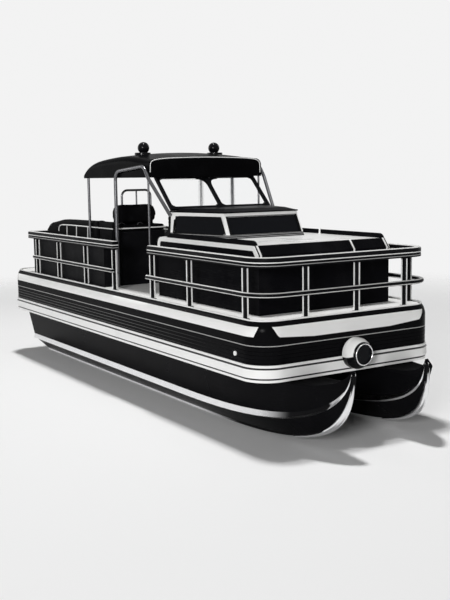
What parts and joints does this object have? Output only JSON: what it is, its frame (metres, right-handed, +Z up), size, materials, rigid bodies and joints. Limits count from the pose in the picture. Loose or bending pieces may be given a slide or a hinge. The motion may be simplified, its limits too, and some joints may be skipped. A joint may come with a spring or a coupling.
{
  "type": "pontoon boat",
  "caption": "Pontoon boat with a cuddy cabin, raked windscreen, hardtop on tube hoops, open railings, lounge seats and a tilted outboard motor.",
  "frame": {"origin": "on the floor under the middle of the whole boat, with the keels at height zero", "axes": "+X towards the bow, +Y towards port, +Z up"},
  "size_m": [9.7917, 2.6, 3.4536],
  "materials": {
    "hull_gloss": "gloss coat",
    "bright_metal": "polished",
    "frame_metal": "mill finish",
    "deck_vinyl": "woven vinyl",
    "rub_rubber": "satin",
    "rail_metal": "brushed",
    "cap_gloss": "gloss",
    "cabin_gloss": "gloss",
    "white_gel": "gel coat",
    "dark_glass": "tinted",
    "clear_glass": "clear",
    "top_gloss": "gloss",
    "lamp_white": "satin",
    "lamp_body": "gloss",
    "lamp_glass": "clear",
    "seat_shell": "satin",
    "seat_vinyl": "soft grain",
    "dash_plastic": "satin",
    "wheel_rubber": "satin",
    "motor_metal": "painted",
    "motor_paint": "gloss",
    "prop_steel": "polished"
  },
  "bodies": {
    "boat": {"pontoon_port": "hull_gloss", "pontoon_starboard": "hull_gloss", "keel_bars": "bright_metal", "spray_strakes": "bright_metal", "cross_beams": "frame_metal", "deck_webs": "frame_metal", "deck_floor": "deck_vinyl", "hull_skins": "hull_gloss", "rub_rails": "rub_rubber", "toe_rails": "white_gel", "fence_posts": "rail_metal", "fence_top_rails": "cap_gloss", "fence_mid_rails": "cap_gloss", "fence_bends": "cap_gloss", "cabin_sides": "cabin_gloss", "cabin_front_panel": "cabin_gloss", "cabin_deck": "white_gel", "cabin_bulkhead": "cabin_gloss", "cabin_trim": "white_gel", "trunk_walls": "white_gel", "trunk_glass": "dark_glass", "trunk_roof": "top_gloss", "deck_coamings": "cabin_gloss", "windscreen_frame": "cap_gloss", "windscreen_glass": "clear_glass", "hardtop": "top_gloss", "roof_hoops": "rail_metal", "roof_posts": "rail_metal", "roof_lamps": "lamp_body", "bow_lamp_housing": "lamp_body", "bow_lamp_lens": "lamp_glass", "side_lamps": "lamp_white", "helm_seat_base": "seat_shell", "helm_seat_cushion": "seat_vinyl", "helm_backrest": "seat_vinyl", "helm_grab_rail": "rail_metal", "lounge_bases": "seat_shell", "lounge_seats": "seat_vinyl", "lounge_backs": "seat_vinyl", "dash_console": "dash_plastic", "motor_pod": "hull_gloss", "motor_clamp": "motor_metal"},
    "cabin_door": {"cabin_door": "white_gel"},
    "stern_gate": {"stern_gate": "rail_metal"},
    "steering_wheel": {"steering_wheel": "wheel_rubber"},
    "motor_swivel": {"motor_swivel": "motor_metal"},
    "motor": {"motor_leg": "motor_paint", "motor_cowl": "motor_paint"},
    "propeller": {"propeller": "prop_steel"}
  },
  "joints": [
    {"name": "cabin_door_hinge", "type": "hinge", "parent": "boat", "child": "cabin_door", "pos_m": [1.5263, 0.747, 1.785], "axis": [0, 0, -1], "range_deg": [0, 100]},
    {"name": "stern_gate_hinge", "type": "hinge", "parent": "boat", "child": "stern_gate", "pos_m": [-2.5447, 0.931, 1.728], "axis": [0, 0, -1], "range_deg": [0, 95]},
    {"name": "steering_wheel_turn", "type": "hinge", "parent": "boat", "child": "steering_wheel", "pos_m": [1.245, -0.45, 2.28], "axis": [-0.866, 0, 0.5], "range_deg": [-540, 540]},
    {"name": "motor_tilt", "type": "hinge", "parent": "boat", "child": "motor_swivel", "pos_m": [-3.9747, 0, 0.74], "axis": [0, 1, 0], "range_deg": [-50, 0]},
    {"name": "motor_steer", "type": "hinge", "parent": "motor_swivel", "child": "motor", "pos_m": [-4.05826, 0, 0.83959], "axis": [0.766, 0, 0.6428], "range_deg": [-30, 30]},
    {"name": "propeller_spin", "type": "hinge", "parent": "motor", "child": "propeller", "pos_m": [-4.79172, 0, 0.59357], "axis": [0.6428, 0, -0.766], "continuous": true}
  ]
}
